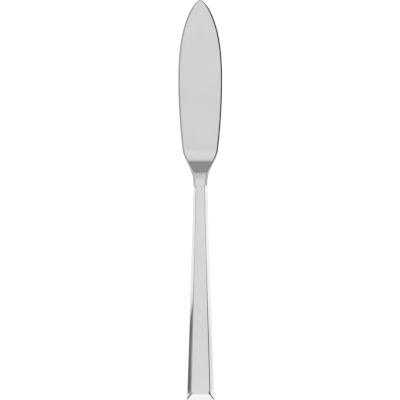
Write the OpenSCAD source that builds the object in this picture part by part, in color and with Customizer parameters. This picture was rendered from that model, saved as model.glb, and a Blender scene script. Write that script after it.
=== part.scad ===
// A fish knife: a forged leaf blade held in a hollow, faceted handle of two pressed shells.
// It lies on the flat lower face of the handle. +Z is up, the tip points along +Y, and the
// origin is on the table under the middle of the knife's length.
// Every shape is first made along +Y from the handle's end, about the knife's own mid-plane.

/* [Overall] */
// Length from the handle's end to the blade's tip
overall_l = 208; // [200:1:220]

/* [Handle] */
// Length of the hollow handle, from its end to its mouth
handle_l = 111; // [104:1:118]
// Width across the handle's end
handle_end_w = 14.4; // [12.5:0.1:16]
// Width across the handle just behind its mouth
handle_neck_w = 7.85; // [7.2:0.05:8.6]
// Thickness of the handle at its end
handle_end_t = 6.1; // [5.6:0.1:7]
// Thickness of the handle at its mouth
handle_mouth_t = 4.9; // [4.6:0.1:5.4]
// Distance from the end at which the taper runs out
taper_l = 98.6; // [88:0.2:99]
// Length of the gentle curve before and after that place
taper_blend_l = 12; // [5:1:12]
// How much the outline draws in at the mouth
mouth_draw = 0.4; // [0:0.05:0.5]
// Length over which it draws in
mouth_draw_l = 8; // [4:0.5:10]

/* [Facets] */
// Width of the long chamfers at the handle's end, seen from above
chamfer_end_w = 2.15; // [1.6:0.05:2.4]
// Width of the long chamfers at the mouth and neck, seen from above
chamfer_neck_w = 1.5; // [1.2:0.05:1.7]
// Angle of the long chamfers below the flat faces
chamfer_a = 41; // [34:1:48]
// Length of the bevel across the handle's end, seen from above
end_bevel_l = 3; // [2.4:0.1:4.5]

/* [Shells] */
// Wall of the two pressed shells
shell_wall = 0.8; // [0.5:0.05:1]

/* [Neck] */
// How far the neck lies inside the rim of the handle's mouth
neck_step = 0.12; // [0.05:0.01:0.3]
// Length of the neck between the mouth and the foot of the shoulder
neck_l = 6.6; // [5:0.1:9]
// Length of the sloping shoulder between the neck and the blade
shoulder_l = 6.4; // [5:0.1:8]
// Rounding of the shoulder's upper edge, as a height
shoulder_round = 0.12; // [0.04:0.01:0.25]

/* [Blade] */
// Width of the blade at its widest place
blade_w = 22.9; // [20:0.1:25]
// Width of the blade at its heel corners
heel_w = 17.9; // [16:0.1:19]
// Distance from the mouth at which the sides start to flare
flare_start_l = 5.6; // [4.5:0.1:7]
// Angle at which the sides flare from the neck to the heel
flare_a = 25.5; // [23:0.5:32]
// Length of the curve from the neck into the flare, before and after its start
flare_blend_l = 4; // [2.5:0.5:4.5]
// Length of the curve round each heel corner, before and after it
heel_blend_l = 2.6; // [0.5:0.1:3]
// Length of the nose, from the widest place to the tip
nose_l = 41.5; // [36:0.5:50]
// Thickness of the blade at the foot of its shoulder
blade_heel_t = 1.7; // [1.4:0.1:2.2]
// Thickness of the blade at its tip
blade_tip_t = 1; // [0.9:0.05:1.3]
// Thickness of the blade's softened edge
edge_t = 0.7; // [0.5:0.05:0.8]
// Width of the bevel along the edge, seen from above
edge_bevel_w = 0.5; // [0.3:0.05:0.8]

/* [Tang] */
// Length of the tang, from the handle's mouth
tang_l = 58; // [40:1:80]
// Width of the tang
tang_w = 3.6; // [3:0.1:4.2]
// Thickness of the tang
tang_t = 2; // [1.6:0.1:2.4]
// Length of the spigot that centres the neck in the mouth
spigot_l = 5; // [3:0.5:8]
// Radius of the keying notches in the tang's sides
notch_r = 0.7; // [0.4:0.05:1]

/* [Clearances] */
// Gap between the handle's rim and the neck's end face
joint_gap = 0.05; // [0.02:0.01:0.15]
// Gap round the spigot in the mouth
spigot_gap = 0.06; // [0.02:0.01:0.15]
// Gap round the filler
filler_gap = 0.04; // [0.02:0.01:0.1]

/* [Hidden] */

// Exponents of the nose's outline: how full its sides are, and how round its tip is
nose_side_share = 2.37;
nose_tip_share = 0.668;
// Places of the tang's notches along its length, from the mouth
notch_shares = [0.4, 0.62, 0.84];
// Most of the half width that the edge bevel may take near the tip
tip_bevel_share = 0.5;
// Stations on the curved stretches
taper_steps = 24;
neck_steps = 33;
heel_steps = 12;
belly_steps = 24;
nose_steps = 44;
// Resolution of the tang's round end and notches
round_fn = 32;
// Overrun of every cut
cut_over = 1;

face_slope = (handle_end_t - handle_mouth_t) / 2 / handle_l;
tilt = atan(face_slope);
taper_start_y = taper_l - taper_blend_l;
end_bevel_a = atan((half_t(end_bevel_l) - side_t(0)) / end_bevel_l);
neck_end_y = handle_l + neck_l;
blade_y = neck_end_y + shoulder_l;
flare_y = handle_l + flare_start_l;
widest_y = overall_l - nose_l;
heel_y = flare_y + (heel_w - neck_w()) / 2 / tan(flare_a);
belly_l = widest_y - heel_y;

// Positive part of d, with a parabola over the stretch b before and after zero
function ramp(d, b) = d <= -b ? 0 : d >= b ? d : pow(d + b, 2) / (4 * b);
// Smaller of two values, rounded where they cross
function soft_min(a, b, round) = a - ramp(a - b, round);

// Share of the handle's taper that is left at y: 1 at its end, 0 at its neck
function taper_at(y) = ramp(taper_l - y, taper_blend_l) / ramp(taper_l, taper_blend_l);
// Half width of the handle
function draw_at(y) = mouth_draw * pow(max(y - handle_l + mouth_draw_l, 0) / mouth_draw_l, 2);
function half_w(y) =
    (handle_neck_w + (handle_end_w - handle_neck_w) * taper_at(y) - draw_at(y)) / 2;
// Half thickness of the handle: its two broad faces are flat
function half_t(y) = handle_end_t / 2 - face_slope * y;
// Width of the long chamfers
function chamfer_w(y) = chamfer_neck_w + (chamfer_end_w - chamfer_neck_w) * taper_at(y);
// Half thickness of the side wall below the chamfer
function side_t(y) = half_t(y) - chamfer_w(y) * tan(chamfer_a);

// A cross-section is [y, half width, half width of the flat face, half thickness, half side].
// This one is the handle's, with all its walls moved in by inset.
function handle_section(y, inset) = [
    y,
    half_w(y) - inset,
    half_w(y) - chamfer_w(y) - inset * tan(chamfer_a / 2),
    half_t(y) - inset,
    side_t(y) - inset * tan(45 - chamfer_a / 2)
];
function neck_section() = handle_section(handle_l, neck_step);
function neck_w() = 2 * neck_section()[1];

// Distance past the heel corner, rounded at the corner
function past_heel(y) = ramp(y - heel_y, min(heel_blend_l, belly_l));
// Half width of the neck, the straight flare and the belly, a parabola up to the widest place
function belly_half(y) =
    neck_w() / 2
    + tan(flare_a) * (ramp(y - flare_y, flare_blend_l) - past_heel(y))
    + (blade_w - heel_w) / 2 * (1 - pow(1 - past_heel(y) / belly_l, 2));
// Half width of the nose, u being the share of its length that is left to the tip
function nose_half(u) = blade_w / 2 * pow(1 - pow(1 - u, nose_side_share), nose_tip_share);
function blade_half(y) =
    y < widest_y ? belly_half(y) : nose_half((overall_l - y) / nose_l);

// Half thickness: flat on the neck, sloping at the shoulder, thinning evenly to the tip
function blade_flat(y) =
    (blade_heel_t + (blade_tip_t - blade_heel_t) * (y - blade_y) / (overall_l - blade_y)) / 2;
function shoulder_flat(y) =
    blade_flat(blade_y) + (neck_section()[3] - blade_flat(blade_y)) * (blade_y - y) / shoulder_l;
function blade_half_t(y) =
    y < blade_y ? soft_min(neck_section()[3], shoulder_flat(y), shoulder_round) : blade_flat(y);

// Share of the shoulder that is left at y: 1 on the neck, 0 on the blade
function shoulder_at(y) = min(max((blade_y - y) / shoulder_l, 0), 1);
function blade_side(y) = edge_t / 2 + (neck_section()[4] - edge_t / 2) * shoulder_at(y);
function blade_bevel(y) =
    min(
        edge_bevel_w + (neck_section()[1] - neck_section()[2] - edge_bevel_w) * shoulder_at(y),
        blade_half(y) * tip_bevel_share
    );
function blade_section(y) = [
    y,
    blade_half(y),
    blade_half(y) - blade_bevel(y),
    blade_half_t(y),
    blade_side(y)
];

// Evenly spaced values from a to b, both included
function steps(a, b, count) = [for (i = [0 : count]) a + (b - a) * i / count];
function but_last(list) = [for (i = [0 : len(list) - 2]) list[i]];
// Belly stations crowd towards the heel corners
function belly_stations() = [
    for (i = [0 : belly_steps - 1]) heel_y + belly_l * pow(i / belly_steps, 2)
];
// Nose stations crowd towards the tip, and the last one leaves a point too small to see
function nose_stations() = [
    for (i = [0 : nose_steps]) overall_l - nose_l * pow(1 - i / (nose_steps + 1), 3)
];
side_stations = concat(but_last(steps(blade_y, heel_y, heel_steps)), belly_stations());
blade_stations = concat(
    steps(handle_l + joint_gap, blade_y, neck_steps),
    [for (y = side_stations) if (y > blade_y) y],
    nose_stations()
);

// Eight corners of a cross-section, clockwise from the upper right ridge, looking to the tip
function corners(s) = [
    [s[2], s[0], s[3]],
    [s[1], s[0], s[4]],
    [s[1], s[0], -s[4]],
    [s[2], s[0], -s[3]],
    [-s[2], s[0], -s[3]],
    [-s[1], s[0], -s[4]],
    [-s[1], s[0], s[4]],
    [-s[2], s[0], s[3]]
];

// A solid skin over a list of cross-sections
module loft(sections) {
    sides = len(corners(sections[0]));
    last = len(sections) - 1;
    polyhedron(
        points = [for (s = sections) each corners(s)],
        faces = concat(
            [[for (k = [0 : sides - 1]) k]],
            [
                for (i = [0 : last - 1], k = [0 : sides - 1])
                    let (a = i * sides, b = a + sides, n = (k + 1) % sides)
                    each [[a + k, b + n, a + n], [a + k, b + k, b + n]]
            ],
            [[for (k = [sides - 1 : -1 : 0]) last * sides + k]]
        )
    );
}

// Handle from y = 0 to end_y with its walls moved in by inset, before its end is bevelled
module handle_bar(inset, end_y) {
    ys = concat([0], steps(taper_start_y, end_y, taper_steps));
    loft([for (y = ys) handle_section(y, inset)]);
}

// Side view of the handle's bevelled end, moved in by inset, on both sides of the mid-plane
module end_profile(inset, end_y) {
    low_z = side_t(0) - inset * tan(45 - end_bevel_a / 2);
    high_y = end_bevel_l + inset * tan(end_bevel_a / 2) + cut_over / tan(end_bevel_a);
    high_z = half_t(end_bevel_l) - inset + cut_over;
    upper = [[inset, low_z], [high_y, high_z], [end_y, high_z]];
    lower = [[end_y, -high_z], [high_y, -high_z], [inset, -low_z]];
    rotate([90, 0, 90])
        linear_extrude(height = handle_end_w + 2 * cut_over, center = true)
            polygon(concat(upper, lower));
}

module handle_body(inset, end_y) {
    intersection() {
        handle_bar(inset, end_y);
        end_profile(inset, end_y + cut_over);
    }
}

// Hollow handle above the mid-plane
module shell() {
    intersection() {
        difference() {
            handle_body(0, handle_l);
            handle_body(shell_wall, handle_l + cut_over);
        }
        translate([-handle_end_w, -cut_over, 0])
            cube([2 * handle_end_w, handle_l + 2 * cut_over, handle_end_t]);
    }
}

// Bar with a round end and notched sides, which the filler keys into, grown by a gap
module tang(gap) {
    tang_end_y = handle_l - tang_l + tang_w / 2;
    linear_extrude(height = tang_t + 2 * gap, center = true)
        difference() {
            union() {
                translate([-tang_w / 2 - gap, tang_end_y])
                    square([tang_w + 2 * gap, handle_l + joint_gap - tang_end_y + cut_over]);
                translate([0, tang_end_y])
                    circle(r = tang_w / 2 + gap, $fn = round_fn);
            }
            for (share = notch_shares, side = [-1, 1])
                translate([side * tang_w / 2, handle_l - tang_l * share])
                    circle(r = notch_r - gap, $fn = round_fn);
        }
}

// Plug of the mouth's inner shape, reaching a little way into the neck
module spigot() {
    ys = steps(handle_l - spigot_l, handle_l + cut_over, taper_steps);
    loft([for (y = ys) handle_section(y, shell_wall + spigot_gap)]);
}

// Lays the knife on the flat lower face of its handle
module lie_flat() {
    translate([0, -overall_l / 2, handle_end_t / 2 * cos(tilt)])
        rotate([-tilt, 0, 0])
            children();
}

module blade() {
    color("gainsboro")
        lie_flat()
            union() {
                loft([for (y = blade_stations) blade_section(y)]);
                spigot();
                tang(0);
            }
}

module handle_front_shell() {
    color("silver")
        lie_flat()
            shell();
}

module handle_back_shell() {
    color("lightgray")
        lie_flat()
            mirror([0, 0, 1])
                shell();
}

module handle_filler() {
    color("tan")
        lie_flat()
            difference() {
                handle_body(shell_wall + filler_gap, handle_l - spigot_l - filler_gap);
                tang(filler_gap);
            }
}

blade();
handle_front_shell();
handle_back_shell();
handle_filler();
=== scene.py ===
"""A table fish knife: leaf blade, neck, tang and the two pressed shells of a hollow handle.

The file is laid out as an add-on. Every shape is first worked out along +Y from the handle's end,
about the knife's own mid-plane, and is then laid on the flat lower face of the handle.
"""

import math

import bmesh
import bpy
import numpy as np
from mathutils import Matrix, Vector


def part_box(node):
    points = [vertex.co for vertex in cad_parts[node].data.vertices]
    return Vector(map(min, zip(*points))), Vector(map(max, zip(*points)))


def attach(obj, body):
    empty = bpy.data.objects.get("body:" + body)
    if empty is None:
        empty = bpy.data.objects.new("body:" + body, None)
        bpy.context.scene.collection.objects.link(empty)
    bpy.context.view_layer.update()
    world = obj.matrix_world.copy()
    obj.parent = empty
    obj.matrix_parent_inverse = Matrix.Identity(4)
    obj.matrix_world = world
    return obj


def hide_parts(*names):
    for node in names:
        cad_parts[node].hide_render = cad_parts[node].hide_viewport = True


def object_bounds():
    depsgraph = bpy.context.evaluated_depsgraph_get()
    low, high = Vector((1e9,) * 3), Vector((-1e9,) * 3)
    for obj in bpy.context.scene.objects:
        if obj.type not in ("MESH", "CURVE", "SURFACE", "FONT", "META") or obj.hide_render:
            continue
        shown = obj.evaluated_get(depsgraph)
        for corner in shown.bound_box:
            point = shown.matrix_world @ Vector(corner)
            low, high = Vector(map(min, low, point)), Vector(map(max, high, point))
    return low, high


bl_info = {
    "name": "Fish knife",
    "version": (1, 0, 0),
    "blender": (4, 5, 0),
    "location": "3D View > Sidebar > Fish knife",
    "description": "Builds a fish knife with a hollow handle, its finishes and a plain studio",
    "category": "Add Mesh",
}

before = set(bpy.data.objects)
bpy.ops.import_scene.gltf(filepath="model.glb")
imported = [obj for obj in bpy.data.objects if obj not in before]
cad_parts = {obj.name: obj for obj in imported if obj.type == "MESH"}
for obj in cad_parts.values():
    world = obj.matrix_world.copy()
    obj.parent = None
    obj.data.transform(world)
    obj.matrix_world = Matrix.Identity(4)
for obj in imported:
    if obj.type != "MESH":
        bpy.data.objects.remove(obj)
CAD_LOW, CAD_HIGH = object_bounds()
SHELL_LOW, SHELL_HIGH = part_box("handle_front_shell")
BLADE_LOW, BLADE_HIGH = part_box("blade")

MM = 0.001
DEGREE = math.pi / 180
# Points closer than this are one point
MERGE_DISTANCE = 0.0005 * MM
# Takes the place of zero where something is divided by it
TINY = 1e-9


def linear(hex_colour):
    """Turns an sRGB hex colour into linear red, green and blue."""
    parts = np.array([int(hex_colour[i : i + 2], 16) / 255 for i in (1, 3, 5)])
    return tuple(np.where(parts <= 0.04045, parts / 12.92, ((parts + 0.055) / 1.055) ** 2.4))


def size(name, description, default):
    """A length in metres."""
    return bpy.props.FloatProperty(
        name=name, description=description, default=default, min=0, precision=6, unit="LENGTH"
    )


def angle(name, description, default):
    """An angle, given in degrees and kept in radians."""
    return bpy.props.FloatProperty(
        name=name, description=description, default=default * DEGREE, subtype="ANGLE"
    )


def finish_colour(name, description, hex_colour):
    """A colour, given as sRGB hex and kept linear."""
    return bpy.props.FloatVectorProperty(
        name=name, description=description, default=linear(hex_colour), subtype="COLOR",
        size=3, min=0, max=1,
    )


class HandleSizes(bpy.types.PropertyGroup):
    """Sizes of the hollow handle and its facets."""

    length: size("Length", "From the handle's end to its mouth", SHELL_HIGH.y - SHELL_LOW.y)
    end_width: size("End width", "Width across the end", SHELL_HIGH.x - SHELL_LOW.x)
    neck_width: size("Neck width", "Width just behind the mouth", 7.85 * MM)
    end_thickness: size("End thickness", "Thickness at the end", 6.1 * MM)
    mouth_thickness: size("Mouth thickness", "Thickness at the mouth", 4.9 * MM)
    taper: size("Taper", "Distance from the end at which the taper runs out", 98.6 * MM)
    taper_blend: size("Taper blend", "Half of the curve there", 12 * MM)
    draw: size("Draw", "How much the outline draws in at the mouth", 0.4 * MM)
    draw_length: size("Draw length", "Length over which it draws in", 8 * MM)
    end_chamfer: size("End chamfer", "Width of the long chamfers at the end", 2.18 * MM)
    neck_chamfer: size("Neck chamfer", "Width of the long chamfers at the mouth", 1.5 * MM)
    end_angle: angle("End chamfer angle", "Slope of the long chamfers towards the end", 35.7)
    change_start: size("Change start", "Distance from the end at which it changes", 26 * MM)
    change_length: size("Change length", "Length over which it changes", 36 * MM)
    lift: angle("Lift", "How much steeper they get again near the end", 1.5)
    lift_length: size("Lift length", "Length over which they do", 24 * MM)
    end_turn: angle("End turn", "How much steeper still they are at the very end", 4.5)
    end_turn_start: size("End turn start", "Distance from the end at which they turn", 5.4 * MM)
    end_turn_length: size("End turn length", "Length over which they turn", 2.2 * MM)
    mouth_angle: angle("Mouth chamfer angle", "Slope of the long chamfers at the mouth", 42)
    chamfer_crown: size("Chamfer crown", "How far the chamfers bulge", 0.012 * MM)
    bevel: size("End bevel", "Length of the bevel across the end", 3.1 * MM)
    bevel_blend: size("End bevel blend", "Height over which it rounds into the face", 0.4 * MM)
    roll: size("End roll", "How far the broad faces fall away at the end", 0.12 * MM)
    roll_length: size("End roll length", "Length over which they fall away", 16 * MM)
    wall: size("Wall", "Wall of the pressed shells", 0.8 * MM)
    ridge_radius: size("Ridge radius", "Rounding of the ridges at the mouth", 0.42 * MM)
    end_ridge_radius: size("End ridge radius", "Rounding of the ridges at the end", 0.95 * MM)
    mitre_radius: size("Mitre radius", "What is added to it at the end bevel", 1.2 * MM)
    ridge_change: size("Ridge change", "Distance from the end at which it starts to grow", 78 * MM)
    ridge_change_length: size("Ridge change length", "Length over which it grows", 46 * MM)
    side_radius: size("Side radius", "Rounding below the chamfers", 0.8 * MM)
    rim_radius: size("Rim radius", "Rounding of the mouth's rim", 0.02 * MM)
    end_radius: size("End radius", "Rounding of the end face", 0.12 * MM)
    seam_radius: size("Seam radius", "Rounding where the shells meet", 0.05 * MM)


class BladeSizes(bpy.types.PropertyGroup):
    """Sizes of the blade, its shoulder, neck and tang."""

    overall: size("Overall length", "From the handle's end to the tip", CAD_HIGH.y - CAD_LOW.y)
    width: size("Blade width", "Width at the widest place", BLADE_HIGH.x - BLADE_LOW.x)
    heel_width: size("Heel width", "Width at the heel corners", 17.9 * MM)
    neck_inset: size("Neck inset", "How far the neck lies inside the mouth's rim", 0.04 * MM)
    neck: size("Neck", "From the mouth to the shoulder", 6.6 * MM)
    shoulder: size("Shoulder", "Length of the sloping shoulder", 6.4 * MM)
    flare_start: size("Flare start", "From the mouth to where the sides flare", 5.6 * MM)
    flare_angle: angle("Flare angle", "Angle of the sides from neck to heel", 25.5)
    flare_blend: size("Flare blend", "Half of the curve into the flare", 4 * MM)
    heel_blend: size("Heel blend", "Half of the curve round the heel corners", 2.6 * MM)
    nose: size("Nose", "From the widest place to the tip", 41.5 * MM)
    heel_thickness: size("Heel thickness", "Blade thickness at the shoulder", 1.7 * MM)
    tip_thickness: size("Tip thickness", "Blade thickness at the tip", 1 * MM)
    crown: size("Crown", "How far the blade's faces bulge", 0.05 * MM)
    edge_bevel: size("Edge bevel", "Width of the bevel along the edge", 0.6 * MM)
    edge_angle: angle("Edge angle", "Slope of that bevel", 25)
    neck_bevel: size("Neck bevel", "Width of the neck's chamfers", 1.05 * MM)
    neck_angle: angle("Neck chamfer angle", "Slope of the neck's chamfers", 31)
    shoulder_angle: angle("Shoulder chamfer angle", "Slope of the shoulder's chamfers", 36)
    edge_radius: size("Edge radius", "Rounding from the face into the edge bevel", 1.4 * MM)
    neck_radius: size("Neck radius", "Rounding of the neck's ridges", 0.42 * MM)
    rim_radius: size("Rim radius", "Rounding of the blade's outermost edge", 0.1 * MM)
    tang: size("Tang", "Length of the tang from the mouth", 58 * MM)
    tang_width: size("Tang width", "Width of the tang", 3.6 * MM)
    tang_thickness: size("Tang thickness", "Thickness of the tang", 2 * MM)
    spigot: size("Spigot", "Length of the plug in the mouth", 5 * MM)
    notch: size("Notch", "Radius of the tang's notches", 0.7 * MM)
    mouth_gap: size("Mouth gap", "Gap between the rim and the neck", 0.01 * MM)
    spigot_gap: size("Spigot gap", "Gap round the spigot", 0.06 * MM)


class FinishColours(bpy.types.PropertyGroup):
    """Colours of the steel, the cement and the floor."""

    blade: finish_colour("Blade", "Forged stainless steel", "#D0D0D0")
    shells: finish_colour("Shells", "Pressed stainless steel", "#D6D6D6")
    cement: finish_colour("Cement", "Cast cement in the handle", "#B9AC97")
    floor: finish_colour("Floor", "White paper floor", "#D8D8D8")


def ramp(d, blend):
    """Positive part of d, with a parabola over the stretch blend before and after zero."""
    return np.where(d <= -blend, 0, np.where(d >= blend, d, (d + blend) ** 2 / (4 * blend)))


def smooth(share):
    """3 s^2 - 2 s^3 of a share held between 0 and 1."""
    share = np.clip(share, 0, 1)
    return share * share * (3 - 2 * share)


def taper_left(h, y):
    """Share of the handle's taper that is left at y: 1 at its end and 0 at its neck."""
    return ramp(h.taper - y, h.taper_blend) / ramp(h.taper, h.taper_blend)


def handle_half_width(h, y):
    """A straight taper that runs out in a parabola, less a square-law draw at the mouth."""
    drawn = h.draw * (np.maximum(y - h.length + h.draw_length, 0) / h.draw_length) ** 2
    return (h.neck_width + (h.end_width - h.neck_width) * taper_left(h, y) - drawn) / 2


def end_share(h, y):
    """1 at the very end, where the chamfers have turned steeper, and 0 before that."""
    return smooth((h.end_turn_start - y) / h.end_turn_length)


def handle_slope(h):
    """How much each broad face closes in for each unit of length."""
    return (h.end_thickness - h.mouth_thickness) / 2 / h.length


def handle_facets(h, y):
    """Half width, half width of the flat face, half thickness and half height of the side.

    The chamfer angle changes smoothly from its value towards the end to that at the mouth, and
    turns steeper again near the end and at the very end. The broad face falls away as the square of
    the distance into the end roll. The end bevel's plane cuts it, with a parabola between the two,
    and the height of the side is the face's less the chamfer's width times its slope.
    """
    half_width = handle_half_width(h, y)
    chamfer = h.neck_chamfer + (h.end_chamfer - h.neck_chamfer) * taper_left(h, y)
    chamfer_angle = (
        h.end_angle
        + (h.mouth_angle - h.end_angle) * smooth((y - h.change_start) / h.change_length)
        + h.lift * smooth((h.lift_length - y) / h.lift_length)
        + h.end_turn * end_share(h, y)
    )
    slope = np.tan(chamfer_angle)
    flat = h.end_thickness / 2 - handle_slope(h) * y
    top = flat - h.roll * (np.maximum(h.roll_length - y, 0) / h.roll_length) ** 2
    side = top - chamfer * slope
    bevel_rise = h.end_chamfer * math.tan(h.end_angle + h.lift + h.end_turn)
    bevel_plane = h.end_thickness / 2 - h.roll - bevel_rise * (1 - y / h.bevel)
    top = top - ramp(top - bevel_plane, h.bevel_blend)
    top = np.maximum(top, side)
    return half_width, half_width - (top - side) / slope, top, side


def lay_flat(h, b, points):
    """Turns the points about X until the handle's lower face is level, and sets it on z = 0.

    Half of the knife's length is taken from y, so that its middle comes to the origin.
    """
    tilt = math.atan(handle_slope(h))
    x, y, z = np.moveaxis(points, -1, 0)
    return np.stack(
        [
            x,
            y * math.cos(tilt) + z * math.sin(tilt) - b.overall / 2,
            (h.end_thickness / 2 + z) * math.cos(tilt) - y * math.sin(tilt),
        ],
        axis=-1,
    )


# Most of a side that one rounding may take, so that two of them always fit on it
MOST_OF_SIDE = 0.45


def rounded(corners, radii, steps, most=MOST_OF_SIDE):
    """Paths through corners, an array of (stations, corners, 2), with their inner corners rounded.

    Each arc touches both sides of its corner. Its tangent length is radius * tan(turn / 2), or
    most of the shorter side where that is less.
    """
    corner = corners[:, 1:-1]
    back, ahead = corners[:, :-2] - corner, corners[:, 2:] - corner
    back_length, ahead_length = np.linalg.norm(back, axis=-1), np.linalg.norm(ahead, axis=-1)
    back = back / np.maximum(back_length, TINY)[..., None]
    ahead = ahead / np.maximum(ahead_length, TINY)[..., None]
    turn = np.pi - np.arccos(np.clip((back * ahead).sum(-1), -1, 1))
    half_tangent = np.maximum(np.tan(turn / 2), TINY)
    reach = np.minimum(radii * half_tangent, most * np.minimum(back_length, ahead_length))
    start = corner + back * reach[..., None]
    side = np.sign(back[..., 0] * ahead[..., 1] - back[..., 1] * ahead[..., 0])
    inward = np.stack([-back[..., 1], back[..., 0]], -1) * side[..., None]
    centre = start + inward * (reach / half_tangent)[..., None]
    swept = -(side * turn)[..., None] * np.linspace(0, 1, steps)
    arm = (start - centre)[..., None, :]
    arcs = centre[..., None, :] + np.stack(
        [
            arm[..., 0] * np.cos(swept) - arm[..., 1] * np.sin(swept),
            arm[..., 0] * np.sin(swept) + arm[..., 1] * np.cos(swept),
        ],
        axis=-1,
    )
    arcs = arcs.reshape(len(corners), -1, 2)
    return np.concatenate([corners[:, :1], arcs, corners[:, -1:]], axis=1)


def grid_faces(rows, columns, closed):
    """Quads of a grid of points counted row by row, whose rows may close on themselves."""
    last = columns if closed else columns - 1
    row, column = np.meshgrid(np.arange(rows - 1), np.arange(last), indexing="ij")
    after = (column + 1) % columns
    quads = np.stack(
        [row * columns + column, row * columns + after,
         (row + 1) * columns + after, (row + 1) * columns + column],
        axis=-1,
    )
    return quads.reshape(-1, 4)


# How strongly the broad facets rule the shading, from 1 to 100: fully, so that each looks flat
FACET_WEIGHT = 100


def add_piece(name, points, faces, material, node):
    """Makes a closed piece with smooth facets that stands for a CAD node."""
    mesh = bpy.data.meshes.new(name)
    mesh.from_pydata(points.reshape(-1, 3).tolist(), [], faces)
    work = bmesh.new()
    work.from_mesh(mesh)
    bmesh.ops.remove_doubles(work, verts=work.verts, dist=MERGE_DISTANCE)
    bmesh.ops.dissolve_degenerate(work, edges=work.edges, dist=MERGE_DISTANCE)
    bmesh.ops.recalc_face_normals(work, faces=work.faces)
    if any(not edge.is_manifold for edge in work.edges):
        raise RuntimeError(f"{name} is not closed")
    work.to_mesh(mesh)
    work.free()
    mesh.shade_smooth()
    mesh.materials.append(material)
    piece = bpy.data.objects.new(name, mesh)
    bpy.context.scene.collection.objects.link(piece)
    shading = piece.modifiers.new("Facet shading", "WEIGHTED_NORMAL")
    shading.weight = FACET_WEIGHT
    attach(piece, "root")
    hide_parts(node)
    return piece


# How far the facets' corners move in for each unit that the walls do
CORNER_SHARE = 0.4
# Direction in which the chamfers bulge, across the knife and upwards
BULGE_ACROSS, BULGE_UP = 0.66, 0.75
# Place of the bulge's corner on a chamfer, from its outer edge to its ridge
BULGE_PLACE = 0.5
# At the very end, how far that corner moves outward, and what the ridge's rounding takes more
END_BULGE_SHIFT = 0.35
END_RIDGE_GAIN = 0.35
# A radius so wide that the bulge's rounding takes all that it may
BULGE_RADIUS = 80 * MM
# Width of the flat lip at the seam, in seam radii
SEAM_LIP = 3
# Points along each rounding, and over the broad face with both its ends
ARC_POINTS = 7
FACE_POINTS = 9


def shell_paths(h, y, inset):
    """Upper half sections of the handle, from the right seam over the top to the left one.

    A section starts at the seam's lip. Its corners are the side's two ends, the bulge's corner and
    the ridge, each with its own radius, and the same again mirrored. The ridge's radius grows
    towards the end.
    """
    half_width, flat, top, side = handle_facets(h, y)
    half_width, top = half_width - inset, top - inset
    side = np.maximum(side - inset * CORNER_SHARE, h.seam_radius)
    flat = np.minimum(flat - inset * CORNER_SHARE, half_width)
    middle = BULGE_PLACE - END_BULGE_SHIFT * end_share(h, y)
    middle_x = half_width + (flat - half_width) * middle + h.chamfer_crown * BULGE_ACROSS
    middle_z = side + (top - side) * middle + h.chamfer_crown * BULGE_UP
    level = np.zeros_like(y)
    seam_x = half_width - SEAM_LIP * h.seam_radius
    right_x = [seam_x, half_width, half_width, middle_x, flat]
    right_z = [level, level, side, middle_z, top]
    corners = np.stack(
        [
            np.stack([*right_x, *[-x for x in right_x[::-1]]], -1),
            np.stack([*right_z, *right_z[::-1]], -1),
        ],
        axis=-1,
    )
    grown = smooth((h.ridge_change - y) / h.ridge_change_length)
    ridge = h.ridge_radius + (h.end_ridge_radius - h.ridge_radius) * grown
    ridge = ridge + h.mitre_radius * end_share(h, y)
    seam = np.full_like(y, h.seam_radius)
    below = np.full_like(y, h.side_radius)
    bulge = np.full_like(y, BULGE_RADIUS)
    half = [seam, below, bulge, ridge]
    radii = np.stack([*half, *half[::-1]], -1)
    plain = np.full_like(y, MOST_OF_SIDE)
    shares = [plain, plain, plain, plain + END_RIDGE_GAIN * end_share(h, y)]
    path = rounded(corners, radii, ARC_POINTS, np.stack([*shares, *shares[::-1]], -1))
    centre = len(path[0]) // 2
    across = np.linspace(0, 1, FACE_POINTS)[1:-1, None]
    bridge = path[:, centre - 1 : centre] * (1 - across) + path[:, centre : centre + 1] * across
    return np.concatenate([path[:, :centre], bridge, path[:, centre:]], axis=1)


# Stations on the roundings of the rim and of the end, on the handle's body and near its end
ROUNDING_STATIONS = 6
BODY_STATIONS = 90
END_STATIONS = 50
# Length of the stretch near the end that has stations of its own
END_STRETCH = 4 * MM
# How the skins shrink to a point on the end wall
END_WALL = (0.9, 0.4, 0)


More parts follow.
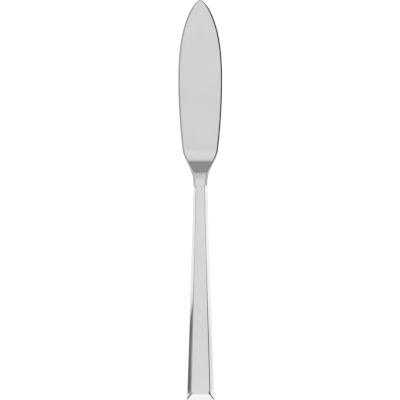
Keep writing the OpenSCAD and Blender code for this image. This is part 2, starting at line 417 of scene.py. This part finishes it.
def half_shell(h):
    """Closed upper half shell: an outer skin, an inner skin and the strips that join them.

    Each skin is a grid. Its rows run from the mouth to the end, where they shrink on the end wall
    to a point, and its columns run over the handle from seam to seam. At the rim and at the end
    the outer skin moves in as a quarter circle does. The inner skin is one wall further in.
    """
    quarter = np.linspace(np.pi / 2, 0, ROUNDING_STATIONS)
    rim_y = h.length - h.rim_radius * (1 - np.sin(quarter))
    end_y = h.end_radius * (1 - np.sin(quarter[::-1]))
    body_y = np.concatenate(
        [
            np.linspace(rim_y[-1], END_STRETCH, BODY_STATIONS)[1:-1],
            np.linspace(END_STRETCH, end_y[0], END_STATIONS)[:-1],
        ]
    )
    wall_rows = len(END_WALL)
    y = np.concatenate([rim_y, body_y, end_y, np.zeros(wall_rows)])
    rounding = 1 - np.cos(quarter)
    inset = np.concatenate(
        [
            h.rim_radius * rounding, np.zeros_like(body_y),
            h.end_radius * rounding[::-1], np.full(wall_rows, h.end_radius),
        ]
    )
    shrink = np.concatenate([np.ones(len(y) - wall_rows), END_WALL])
    outer = shell_paths(h, y, inset) * shrink[:, None, None]
    inner = shell_paths(h, y, np.full_like(y, h.wall)) * shrink[:, None, None]
    inner_y = h.wall + y * (h.length - h.wall) / h.length
    skins = []
    for path, place in ((outer, y), (inner, inner_y)):
        along = np.broadcast_to(place[:, None], path.shape[:2])
        skins.append(np.stack([path[..., 0], along, path[..., 1]], -1))
    rows, columns = skins[0].shape[:2]
    count = rows * columns
    faces = [grid_faces(rows, columns, False), grid_faces(rows, columns, False)[:, ::-1] + count]
    left, right = np.arange(rows) * columns, np.arange(rows) * columns + columns - 1
    for border in (left, right, np.arange(columns)):
        faces.append(
            np.stack([border[:-1], border[1:], border[1:] + count, border[:-1] + count], -1)
        )
    return np.stack(skins), np.concatenate(faces).tolist()


# Slope of the neck's face at the mouth
MOUTH_SLOPE = 1 * DEGREE
# Slopes after it, as (millimetres from the shoulder's foot, degrees). The two that are 0 stand for
# the ends of the shoulder, whose slope is worked out from what is left of the whole rise.
FACE_SLOPES = (
    (-10.2, 2.6), (-8.4, 3.6), (-7, 4.2), (-6, 5.1), (-5.2, 0), (-0.4, 0), (0, 5), (0.5, 4),
    (1.1, 3.5), (2.3, 2.9), (4.3, 1.9),
)
# Distance from the foot at which the blade has come to its even taper
TAPER_START = 6.9 * MM
# Steps in which the slope is added up to the height
SLOPE_STEPS = 8000


def blade_face(h, b, y):
    """Half thickness of neck, shoulder and blade, from the slope of the face along the knife.

    The slope runs straight from one named place to the next, and the height is its integral. The
    shoulder's own slope is what is left of the whole rise, spread evenly over its length.
    """
    neck_end = h.length + b.neck
    foot = neck_end + b.shoulder
    taper = (b.heel_thickness - b.tip_thickness) / 2 / (b.overall - foot)
    neck_top = h.mouth_thickness / 2 - b.neck_inset
    offsets, angles = np.array(FACE_SLOPES).T
    places = np.concatenate(
        [[h.length - b.spigot, h.length], foot + offsets * MM, [foot + TAPER_START, b.overall]]
    )
    slopes = np.concatenate([[0, math.tan(MOUTH_SLOPE)], np.tan(angles * DEGREE), [taper, taper]])
    steep = np.concatenate([[0, 0], angles == 0, [0, 0]])
    fine = np.linspace(places[0], places[-1], SLOPE_STEPS)
    step = fine[1] - fine[0]
    known = np.interp(fine, places, slopes)
    wanted = np.interp(fine, places, steep)
    rise = neck_top - b.tip_thickness / 2
    inside = fine >= h.length
    shoulder_slope = (rise - known[inside].sum() * step) / (wanted[inside].sum() * step)
    slope = known + wanted * shoulder_slope
    height = b.tip_thickness / 2 + (slope.sum() - np.cumsum(slope)) * step
    return np.interp(y, fine, height)


# How full the nose's sides are, how round its tip is, and the offset that gives it a radius
NOSE_SIDE, NOSE_TIP, TIP_OFFSET = 2.37, 0.668, 0.017
# Distances past the foot and past the heel at which the stations' spacing changes
FOOT_STRETCH, HEEL_STRETCH = 2 * MM, 5 * MM
# Stations from the mouth to the flare, to the foot, to the heel, to the widest place and to the tip
SIDE_STATIONS = (30, 150, 50, 50)
NOSE_STATIONS = 90


def blade_outline(h, b):
    """Half outline of neck and blade: x, y and the outline's outward normal.

    The flare is a straight line with parabolas at both ends, and the belly is a parabola. The nose
    is half the width times a power of g, which is one less a power of 1 - s * s, with s running
    from 1 at the widest place to 0 at the tip. A small offset in g gives the tip a radius.
    """
    neck_half = handle_half_width(h, np.array([h.length]))[0] - b.neck_inset
    flare = h.length + b.flare_start
    heel = flare + (b.heel_width / 2 - neck_half) / math.tan(b.flare_angle)
    widest = b.overall - b.nose
    belly = widest - heel
    foot = h.length + b.neck + b.shoulder
    stops = [
        h.length + b.mouth_gap, flare - b.flare_blend, foot + FOOT_STRETCH, heel + HEEL_STRETCH, widest
    ]
    y = np.concatenate(
        [
            np.linspace(start, stop, count)[:-1]
            for start, stop, count in zip(stops, stops[1:], SIDE_STATIONS)
        ]
    )
    past = ramp(y - heel, b.heel_blend)
    x = (
        neck_half
        + math.tan(b.flare_angle) * (ramp(y - flare, b.flare_blend) - past)
        + (b.width - b.heel_width) / 2 * (1 - (1 - past / belly) ** 2)
    )
    s = np.linspace(1, 0, NOSE_STATIONS)
    g = 1 - (1 - s * s) ** NOSE_SIDE
    blunted = (g + TIP_OFFSET) / (1 + TIP_OFFSET)
    nose_x = b.width / 2 * np.sqrt(g) * blunted ** (NOSE_TIP - 0.5)
    x = np.concatenate([x, nose_x])
    y = np.concatenate([y, b.overall - b.nose * s * s])
    run = np.concatenate([[0], np.cumsum(np.hypot(np.diff(x), np.diff(y)))])
    normal = np.stack([np.gradient(y, run), -np.gradient(x, run)], -1)
    normal /= np.linalg.norm(normal, axis=-1, keepdims=True)
    normal[-1] = [0, 1]
    return x, y, normal


# Distance past the mouth at which the neck's chamfers start to turn into the handle's, and the
# length towards the mouth over which they do
MOUTH_TURN_PLACE, MOUTH_TURN_LENGTH = 0.7 * MM, 0.12 * MM
# Share by which the edge bevel narrows at the tip, and the length over which it does
TIP_NARROWING, TIP_NARROWING_LENGTH = 0.35, 9 * MM
# Millimetres from the shoulder's foot: the bevel's slope is the neck's up to the first place, the
# shoulder's between the next two and the edge's from the last one on
BEVEL_TURNS = (-8, -5, 2, 5)
# Distance past the foot at which the neck's crisp ridges have become the edge's soft ones, and the
# length before it over which they do
SOFT_PLACE, SOFT_LENGTH = 1 * MM, 2.5 * MM
# How far the rounding above the edge bevel reaches in, in edge radii
INNER_REACH = 0.6
# Most of the way to the knife's middle line that a ring may reach, so that none crosses it
MOST_OF_WAY = 0.9
# Length past the foot over which the blade's faces begin to bulge
CROWN_LENGTH = 8 * MM
# Points along each of the bevel's roundings, and over half the face with both its ends
BEVEL_POINTS = 12
HALF_FACE_POINTS = 7


def leaf_blade(h, b):
    """Closed skin of neck and blade: rings across the knife, carried along the outline.

    A ring's points lie a distance inward from the outline. Their height is the face's at their own
    place, less the drop of the bevel, which is its width times its slope, with both its edges
    rounded. The faces also bulge by a parabola across the blade. At the mouth the neck's chamfers
    turn into the handle's.
    """
    x, y, normal = blade_outline(h, b)
    foot = h.length + b.neck + b.shoulder
    share = smooth((foot - y) / b.shoulder)
    merged = smooth((h.length + MOUTH_TURN_PLACE - y) / MOUTH_TURN_LENGTH)
    tip_share = smooth((y - b.overall + TIP_NARROWING_LENGTH) / TIP_NARROWING_LENGTH)
    bevel = b.edge_bevel + (b.neck_bevel - b.edge_bevel) * share
    bevel = bevel * (1 - TIP_NARROWING * tip_share)
    bevel = bevel + (h.neck_chamfer - b.neck_bevel) * merged
    turns = foot + np.array(BEVEL_TURNS) * MM
    tilt = np.interp(y, turns, [b.neck_angle, b.shoulder_angle, b.shoulder_angle, b.edge_angle])
    drop = bevel * np.tan(tilt + (h.mouth_angle - b.neck_angle) * merged)
    face = blade_face(h, b, y)
    level = np.zeros_like(y)
    crisp = smooth((foot + SOFT_PLACE - y) / SOFT_LENGTH)
    ridge = b.edge_radius + (b.neck_radius - b.edge_radius) * crisp
    corners = np.stack(
        [
            np.stack([bevel + INNER_REACH * b.edge_radius, bevel, level, level], -1),
            np.stack([level, level, drop, face], -1),
        ],
        axis=-1,
    )
    path = rounded(corners, np.stack([ridge, np.full_like(y, b.rim_radius)], -1), BEVEL_POINTS)
    room = MOST_OF_WAY * x / np.maximum(normal[:, 0], TINY)
    room[-1] = room[-2]
    inward = path[..., 0] * np.minimum(1, room / path[:, 0, 0])[:, None]
    fall = path[..., 1]
    edge_x = x[:, None] - normal[:, :1] * inward
    edge_y = y[:, None] - normal[:, 1:] * inward
    height = blade_face(h, b, edge_y) - fall
    height[:, -1] = 0
    across = np.linspace(0, 1, HALF_FACE_POINTS)[:-1]
    flat_x = edge_x[:, :1] * across
    flat_y = np.repeat(edge_y[:, :1], len(across), 1)
    flat_z = np.repeat(height[:, :1], len(across), 1)
    qx = np.concatenate([flat_x, edge_x], 1)
    qy = np.concatenate([flat_y, edge_y], 1)
    qz = np.concatenate([flat_z, height], 1)
    bulge = b.crown * (1 - (qx / np.maximum(x[:, None], TINY)) ** 2)
    begun = np.clip((y - foot) / CROWN_LENGTH, 0, 1) * np.clip((b.overall - y) / b.nose, 0, 1)
    qz = qz + np.where(qz > 0, bulge * begun[:, None], 0)
    upper = np.stack([qx, qy, qz], -1)
    turn_over = np.array([1, 1, -1])
    turn_round = np.array([-1, 1, 1])
    lower = upper[:, -2::-1] * turn_over
    left_lower = upper[:, 1:] * turn_over * turn_round
    left_upper = upper[:, -2:0:-1] * turn_round
    rings = np.concatenate([upper, lower, left_lower, left_upper], 1)
    rows, columns = rings.shape[:2]
    faces = grid_faces(rows, columns, True).tolist()
    faces.append(list(range(columns)))
    return rings, faces


def bar_rings(right_x, right_z, y):
    """Rings across the knife at the places y, from their corners on its right, top to bottom."""
    x = np.stack([*right_x, *[-x for x in right_x[::-1]]], -1)
    z = np.stack([*right_z, *right_z[::-1]], -1)
    return np.stack([x, np.broadcast_to(y[:, None], x.shape), z], -1)


def bar_faces(rings, first):
    """Faces of a closed bar, its sides and both its ends, with its points counted from first."""
    rows, columns = rings.shape[:2]
    last = first + columns * (rows - 1)
    ends = [list(range(start, start + columns)) for start in (first, last)]
    return (grid_faces(rows, columns, True) + first).tolist() + ends


# Places of the tang's notches, as shares of its length from the mouth
NOTCH_PLACES = (0.4, 0.62, 0.84)
# Stations on the tang's round end, on its bar and on the spigot
TANG_END_STATIONS, TANG_STATIONS, SPIGOT_STATIONS = 14, 360, 8


def tang_and_spigot(h, b):
    """Two closed bars, end to end: the notched tang with its round end, and the spigot.

    The tang's half width is that of a bar, less a circle at each notch, and a circle at its end.
    The spigot has the mouth's section, with its walls moved in by the shell's wall and a gap.
    """
    back = h.length - b.spigot
    start = h.length - b.tang
    round_end = start + b.tang_width / 2
    y = np.concatenate(
        [
            round_end - b.tang_width / 2 * np.cos(np.linspace(0, np.pi / 2, TANG_END_STATIONS)),
            np.linspace(round_end, back, TANG_STATIONS)[1:],
        ]
    )
    half = np.sqrt(np.clip((b.tang_width / 2) ** 2 - np.clip(round_end - y, 0, None) ** 2, 0, None))
    for share in NOTCH_PLACES:
        half = half - np.sqrt(np.clip(b.notch**2 - (y - h.length + b.tang * share) ** 2, 0, None))
    height = np.full_like(y, b.tang_thickness / 2)
    tang = bar_rings([half, half], [height, -height], y)
    plug_y = np.linspace(back, h.length + b.mouth_gap, SPIGOT_STATIONS)
    inset = h.wall + b.spigot_gap
    half_width, flat, top, side = handle_facets(h, plug_y)
    half_width, top = half_width - inset, top - inset
    flat, side = flat - inset * CORNER_SHARE, side - inset * CORNER_SHARE
    plug = bar_rings([flat, half_width, half_width, flat], [top, side, -side, -top], plug_y)
    points = [tang.reshape(-1, 3), plug.reshape(-1, 3)]
    return np.concatenate(points), bar_faces(tang, 0) + bar_faces(plug, len(points[0]))


def add_node(tree, kind, inputs=None, stops=None, **settings):
    """Adds a node of that kind with its settings, its values or links, and its curve's points."""
    made = tree.nodes.new(kind)
    for name, value in settings.items():
        setattr(made, name, value)
    for socket, value in (inputs or {}).items():
        if isinstance(value, bpy.types.NodeSocket):
            tree.links.new(value, made.inputs[socket])
        else:
            made.inputs[socket].default_value = value
    if stops:
        made.mapping.use_clip = False
        points = made.mapping.curves[0].points
        while len(points) < len(stops):
            points.new(0.5, 0.5)
        for point, place in zip(points, sorted(stops)):
            point.location = place
            point.handle_type = "AUTO_CLAMPED"
        made.mapping.update()
    return made


def new_material(name):
    """An empty node material and its output node."""
    material = bpy.data.materials.new(name)
    material.use_nodes = True
    material.node_tree.nodes.clear()
    return material, material.node_tree.nodes.new("ShaderNodeOutputMaterial")


# Roughness of the buffed blade and shells, and of the tang as it comes from the forge
BLADE_ROUGHNESS, SHELL_ROUGHNESS, TANG_ROUGHNESS = 0.12, 0.11, 0.35
# Width, length and depth of the buffing lines, and size of the faint clouds in the steel's tone
LINE_WIDTH, LINE_LENGTH, LINE_DEPTH, CLOUD_SIZE = 0.6 * MM, 14 * MM, 0.002 * MM, 24 * MM
# What the lines add to the roughness at least and at most, and what the clouds do times the tone
LINE_LOW, LINE_HIGH = -0.02, 0.03
CLOUD_LOW, CLOUD_HIGH = 0.98, 1.02
# Range in which nearly all of a noise texture's values lie
NOISE_LOW, NOISE_HIGH = 0.3, 0.7


def polished_stainless_steel(name, colour, roughness):
    """Stainless steel, pressed or forged and then buffed to a mirror.

    It gives the eye crisp but slightly softened reflections, with fine buffing lines along the
    knife. Real lines are too fine for the picture to show, so they are drawn as coarse as it needs.
    """
    material, output = new_material(name)
    tree = material.node_tree
    place = add_node(tree, "ShaderNodeTexCoord").outputs["Object"]
    buffed = add_node(
        tree, "ShaderNodeMapping",
        {"Vector": place, "Scale": (1 / LINE_WIDTH, 1 / LINE_LENGTH, 1 / LINE_WIDTH)},
    )
    lines = add_node(
        tree, "ShaderNodeTexNoise", {"Vector": buffed.outputs[0], "Scale": 1, "Detail": 3}
    )
    cloudy = add_node(
        tree, "ShaderNodeTexNoise", {"Vector": place, "Scale": 1 / CLOUD_SIZE, "Detail": 2}
    )
    gloss = add_node(
        tree, "ShaderNodeMapRange",
        {"Value": lines.outputs[0], "From Min": NOISE_LOW, "From Max": NOISE_HIGH,
         "To Min": roughness + LINE_LOW, "To Max": roughness + LINE_HIGH},
    )
    tone = add_node(
        tree, "ShaderNodeMapRange",
        {"Value": cloudy.outputs[0], "From Min": NOISE_LOW, "From Max": NOISE_HIGH,
         "To Min": CLOUD_LOW, "To Max": CLOUD_HIGH},
    )
    tint = add_node(
        tree, "ShaderNodeVectorMath", {0: tuple(colour), "Scale": tone.outputs[0]}, operation="SCALE"
    )
    relief = add_node(
        tree, "ShaderNodeBump",
        {"Height": lines.outputs[0], "Strength": 0.04, "Distance": LINE_DEPTH},
    )
    steel = add_node(
        tree, "ShaderNodeBsdfPrincipled",
        {"Base Color": tint.outputs[0], "Metallic": 1, "Roughness": gloss.outputs[0],
         "Normal": relief.outputs[0]},
    )
    tree.links.new(steel.outputs[0], output.inputs["Surface"])
    return material


# Size and depth of the cement's grains and pores, and what they do times its tone
PORE_SIZE, PORE_DEPTH = 0.4 * MM, 0.1 * MM
PORE_LOW, PORE_HIGH = 0.75, 1.1


def cast_cement(name, colour):
    """Mineral cement cast into the handle: it looks matt and grainy, with small pores."""
    material, output = new_material(name)
    tree = material.node_tree
    place = add_node(tree, "ShaderNodeTexCoord").outputs["Object"]
    grain = add_node(
        tree, "ShaderNodeTexNoise", {"Vector": place, "Scale": 1 / PORE_SIZE, "Detail": 5}
    )
    tone = add_node(
        tree, "ShaderNodeMapRange",
        {"Value": grain.outputs[0], "To Min": PORE_LOW, "To Max": PORE_HIGH},
    )
    tint = add_node(
        tree, "ShaderNodeVectorMath", {0: tuple(colour), "Scale": tone.outputs[0]}, operation="SCALE"
    )
    relief = add_node(
        tree, "ShaderNodeBump",
        {"Height": grain.outputs[0], "Strength": 0.6, "Distance": PORE_DEPTH},
    )
    cement = add_node(
        tree, "ShaderNodeBsdfPrincipled",
        {"Base Color": tint.outputs[0], "Roughness": 0.9, "Normal": relief.outputs[0]},
    )
    tree.links.new(cement.outputs[0], output.inputs["Surface"])
    return material


# Light that the paper adds where it is seen, so that it is white outside the shadow
FLOOR_LIFT = 0.75
# Size of the paper's fibres, and what the darkest do times its tone
FIBRE_SIZE, FIBRE_LOW = 1 * MM, 0.99


def white_paper(name, colour):
    """Matt white paper, which the camera and the steel see as white but for the soft shadow."""
    material, output = new_material(name)
    tree = material.node_tree
    path = add_node(tree, "ShaderNodeLightPath")
    seen = add_node(
        tree, "ShaderNodeMath",
        {0: path.outputs["Is Camera Ray"], 1: path.outputs["Is Glossy Ray"]}, operation="ADD",
    )
    seen = add_node(
        tree, "ShaderNodeMath", {0: seen.outputs[0], 1: path.outputs["Is Transmission Ray"]},
        operation="ADD", use_clamp=True,
    )
    fibre = add_node(
        tree, "ShaderNodeTexNoise",
        {"Vector": add_node(tree, "ShaderNodeTexCoord").outputs["Object"], "Scale": 1 / FIBRE_SIZE},
    )
    tone = add_node(
        tree, "ShaderNodeMapRange", {"Value": fibre.outputs[0], "To Min": FIBRE_LOW, "To Max": 1}
    )
    tint = add_node(
        tree, "ShaderNodeVectorMath", {0: tuple(colour), "Scale": tone.outputs[0]}, operation="SCALE"
    )
    lift = add_node(
        tree, "ShaderNodeMath", {0: seen.outputs[0], 1: FLOOR_LIFT}, operation="MULTIPLY"
    )
    glow = add_node(tree, "ShaderNodeEmission", {"Strength": lift.outputs[0]})
    matt = add_node(tree, "ShaderNodeBsdfDiffuse", {"Color": tint.outputs[0]})
    both = add_node(tree, "ShaderNodeAddShader", {0: matt.outputs[0], 1: glow.outputs[0]})
    tree.links.new(both.outputs[0], output.inputs["Surface"])
    return material


# Brightness of the studio by direction, as (degrees from overhead, level). Across the knife, minus
# is its left; along it, minus is towards the handle's end. Across, a softbox hangs overhead. On its
# left are wide grey and a narrow dark gap, on its right is a wide dark gap, and low down on each
# side stands a bright strip.
STUDIO_ACROSS = (
    (-90, 1.2), (-85, 1.24), (-81.2, 1.14), (-79.2, 1), (-77, 0.17), (-74, 0.19), (-71, 0.2),
    (-68, 0.52), (-63, 0.8), (-57, 0.6), (-48, 0.5), (-14, 0.52), (-6, 0.8), (-2.5, 1), (8, 1),
    (9.5, 0.65), (13, 0.1), (27, 0.04), (51, 0.04), (53.5, 0.25), (56, 0.6), (62, 0.7), (66, 0.78),
    (70, 1.04), (72, 1.08), (75, 1.2), (80, 1.24), (84, 1.28), (90, 1.22),
)
STUDIO_ALONG = (
    (-90, 0.8), (-72, 0.85), (-67, 1.4), (-62, 1.45), (-50, 1.36), (-42, 1.18), (-34, 1.08), (-8, 1.06),
    (-2, 1.07), (-0.4, 0.94), (0.4, 0.94), (1.2, 1.03), (1.8, 0.99), (3.2, 1.1), (4.5, 1.16),
    (5.8, 1.16), (7.2, 1.02), (90, 1),
)
# How far along the knife the pattern across it holds, and the plain level beyond that
STUDIO_REACH = ((-90, 0), (-41, 0), (-32, 1), (26, 1), (38, 0), (90, 0))
STUDIO_PLAIN = 0.95
# A dark flag over the tip's side, which the sloping shoulder reflects, and how dark it is
FLAG_ALONG = (
    (-90, 0), (6.5, 0), (9, 0.27), (11, 0.56), (14, 0.97), (30, 1), (38, 0.3), (46, 0), (90, 0),
)
FLAG_ACROSS = ((-90, 0), (-28, 0), (-16, 1), (16, 1), (28, 0), (90, 0))
FLAG_DEPTH = 0.6
# A dark card to each side of the handle's end, which the mitres of the end bevel reflect
CARD_ALONG = ((-90, 0), (-46, 0), (-39, 1), (-20, 1), (-13, 0), (90, 0))
CARD_ACROSS = (
    (-90, 0), (-62, 0), (-54, 1), (-26, 1), (-14, 0), (14, 0), (26, 1), (54, 1), (62, 0), (90, 0),
)
CARD_DEPTH = 0.9


def light_studio():
    """Soft studio light, whose level depends on direction alone.

    It is the level across the knife, blended towards the plain level beyond its reach, times the
    level along the knife, and less the share that the flag and the cards take. A direction's angle
    is the arcsine of its X or Y, and its place on a curve is its share of the way from -90 to 90.
    """
    world = bpy.data.worlds.new("Soft studio")
    world.use_nodes = True
    tree = world.node_tree
    tree.nodes.clear()
    toward = add_node(
        tree, "ShaderNodeSeparateXYZ", {0: add_node(tree, "ShaderNodeTexCoord").outputs["Generated"]}
    )
    leans = [
        add_node(tree, "ShaderNodeMath", {0: toward.outputs[axis]}, operation="ARCSINE").outputs[0]
        for axis in ("X", "Y")
    ]
    across, along = (
        add_node(
            tree, "ShaderNodeMath", {0: lean, 1: 1 / math.pi, 2: 0.5}, operation="MULTIPLY_ADD"
        ).outputs[0]
        for lean in leans
    )
    side, length, reach, flag_length, flag_side, card_length, card_side = (
        add_node(
            tree, "ShaderNodeFloatCurve", {"Value": value},
            stops=[(place / 180 + 0.5, level) for place, level in stops],
        ).outputs[0]
        for value, stops in (
            (across, STUDIO_ACROSS), (along, STUDIO_ALONG), (along, STUDIO_REACH),
            (along, FLAG_ALONG), (across, FLAG_ACROSS), (along, CARD_ALONG), (across, CARD_ACROSS),
        )
    )
    contrast = add_node(tree, "ShaderNodeMath", {0: side, 1: -STUDIO_PLAIN}, operation="ADD")
    level = add_node(
        tree, "ShaderNodeMath", {0: contrast.outputs[0], 1: reach, 2: STUDIO_PLAIN},
        operation="MULTIPLY_ADD",
    ).outputs[0]
    level = add_node(tree, "ShaderNodeMath", {0: level, 1: length}, operation="MULTIPLY").outputs[0]
    for part_along, part_across, depth in (
        (flag_length, flag_side, FLAG_DEPTH), (card_length, card_side, CARD_DEPTH)
    ):
        flag = add_node(
            tree, "ShaderNodeMath", {0: part_along, 1: part_across}, operation="MULTIPLY"
        )
        kept = add_node(
            tree, "ShaderNodeMath", {0: flag.outputs[0], 1: -depth, 2: 1}, operation="MULTIPLY_ADD"
        )
        level = add_node(
            tree, "ShaderNodeMath", {0: level, 1: kept.outputs[0]}, operation="MULTIPLY"
        ).outputs[0]
    sky = add_node(tree, "ShaderNodeBackground", {"Color": (1, 1, 1, 1), "Strength": level})
    add_node(tree, "ShaderNodeOutputWorld", {"Surface": sky.outputs[0]})
    bpy.context.scene.world = world


# Half the paper's side in metres, and the small gap by which it clears the knife's lower face
FLOOR_HALF = 3
FLOOR_GAP = 0.02 * MM
# The camera looks straight down from far away with hardly any perspective. Its focal length and
# the width of its film are in millimetres, and how far it sees is in metres.
LENS, SENSOR = 600, 36
FAR_END = 20
# Width of the view, the place that it looks down on, and its turn
VIEW_WIDTH = 207.84 * MM
VIEW_X, VIEW_Y = -0.18 * MM, -0.078 * MM
VIEW_TURN = -0.04 * DEGREE


class FISHKNIFE_OT_blade(bpy.types.Operator):
    """Adds the leaf blade with its shoulder and neck"""

    bl_idname = "fishknife.blade"
    bl_label = "Leaf blade"

    def execute(self, context):
        h, b, c = context.scene.knife_handle, context.scene.knife_blade, context.scene.knife_colours
        steel = polished_stainless_steel("Forged stainless steel", c.blade, BLADE_ROUGHNESS)
        points, faces = leaf_blade(h, b)
        add_piece("leaf_blade", lay_flat(h, b, points), faces, steel, "blade")
        return {"FINISHED"}


class FISHKNIFE_OT_tang(bpy.types.Operator):
    """Adds the notched tang and the spigot inside the handle"""

    bl_idname = "fishknife.tang"
    bl_label = "Tang and spigot"

    def execute(self, context):
        h, b, c = context.scene.knife_handle, context.scene.knife_blade, context.scene.knife_colours
        name = "Forged stainless steel, unpolished"
        steel = polished_stainless_steel(name, c.blade, TANG_ROUGHNESS)
        points, faces = tang_and_spigot(h, b)
        add_piece("tang_and_spigot", lay_flat(h, b, points), faces, steel, "blade")
        return {"FINISHED"}


class FISHKNIFE_OT_shells(bpy.types.Operator):
    """Adds the two pressed shells of the hollow handle"""

    bl_idname = "fishknife.shells"
    bl_label = "Handle shells"

    def execute(self, context):
        h, b, c = context.scene.knife_handle, context.scene.knife_blade, context.scene.knife_colours
        steel = polished_stainless_steel("Pressed stainless steel", c.shells, SHELL_ROUGHNESS)
        points, faces = half_shell(h)
        for side, sign in (("front", 1), ("back", -1)):
            placed = lay_flat(h, b, points * np.array([1, 1, sign]))
            node = f"handle_{side}_shell"
            add_piece(f"{side}_shell", placed, faces, steel, node)
        return {"FINISHED"}


class FISHKNIFE_OT_filler(bpy.types.Operator):
    """Gives the cement filler its finish"""

    bl_idname = "fishknife.filler"
    bl_label = "Cement filler"

    def execute(self, context):
        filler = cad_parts["handle_filler"]
        filler.data.materials.clear()
        filler.data.materials.append(cast_cement("Cast cement", context.scene.knife_colours.cement))
        return {"FINISHED"}


class FISHKNIFE_OT_stage(bpy.types.Operator):
    """Adds the floor, the light and the camera"""

    bl_idname = "fishknife.stage"
    bl_label = "Floor, light and camera"

    def execute(self, context):
        half, low = FLOOR_HALF, -FLOOR_GAP
        mesh = bpy.data.meshes.new("floor")
        mesh.from_pydata(
            [(-half, -half, low), (half, -half, low), (half, half, low), (-half, half, low)],
            [], [(0, 1, 2, 3)],
        )
        mesh.materials.append(white_paper("White paper", context.scene.knife_colours.floor))
        floor = bpy.data.objects.new("floor", mesh)
        context.scene.collection.objects.link(floor)
        light_studio()
        lens = bpy.data.cameras.new("camera")
        lens.lens = LENS
        lens.sensor_width = SENSOR
        lens.clip_end = FAR_END
        camera = bpy.data.objects.new("camera", lens)
        camera.location = (VIEW_X, VIEW_Y, VIEW_WIDTH * LENS / SENSOR)
        camera.rotation_euler.z = VIEW_TURN
        context.scene.collection.objects.link(camera)
        context.scene.camera = camera
        context.scene.view_settings.view_transform = "Standard"
        return {"FINISHED"}


STEPS = (
    FISHKNIFE_OT_blade,
    FISHKNIFE_OT_tang,
    FISHKNIFE_OT_shells,
    FISHKNIFE_OT_filler,
    FISHKNIFE_OT_stage,
)


class FISHKNIFE_PT_build(bpy.types.Panel):
    """Lists the knife's sizes and the steps that build it"""

    bl_label = "Fish knife"
    bl_space_type = "VIEW_3D"
    bl_region_type = "UI"
    bl_category = "Fish knife"

    def draw(self, context):
        for group in ("knife_handle", "knife_blade", "knife_colours"):
            values = getattr(context.scene, group)
            column = self.layout.column(align=True)
            for name in values.__annotations__:
                column.prop(values, name)
        for step in STEPS:
            self.layout.operator(step.bl_idname)


CLASSES = (HandleSizes, BladeSizes, FinishColours, *STEPS, FISHKNIFE_PT_build)


def register():
    """Registers the classes and hangs the sizes and colours on the scene."""
    for cls in CLASSES:
        bpy.utils.register_class(cls)
    bpy.types.Scene.knife_handle = bpy.props.PointerProperty(type=HandleSizes)
    bpy.types.Scene.knife_blade = bpy.props.PointerProperty(type=BladeSizes)
    bpy.types.Scene.knife_colours = bpy.props.PointerProperty(type=FinishColours)


def unregister():
    """Takes away what register added."""
    del bpy.types.Scene.knife_colours
    del bpy.types.Scene.knife_blade
    del bpy.types.Scene.knife_handle
    for cls in reversed(CLASSES):
        bpy.utils.unregister_class(cls)


def main():
    """Registers the add-on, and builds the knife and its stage."""
    register()
    for step in STEPS:
        group, name = step.bl_idname.split(".")
        getattr(getattr(bpy.ops, group), name)()


if __name__ == "__main__":
    main()
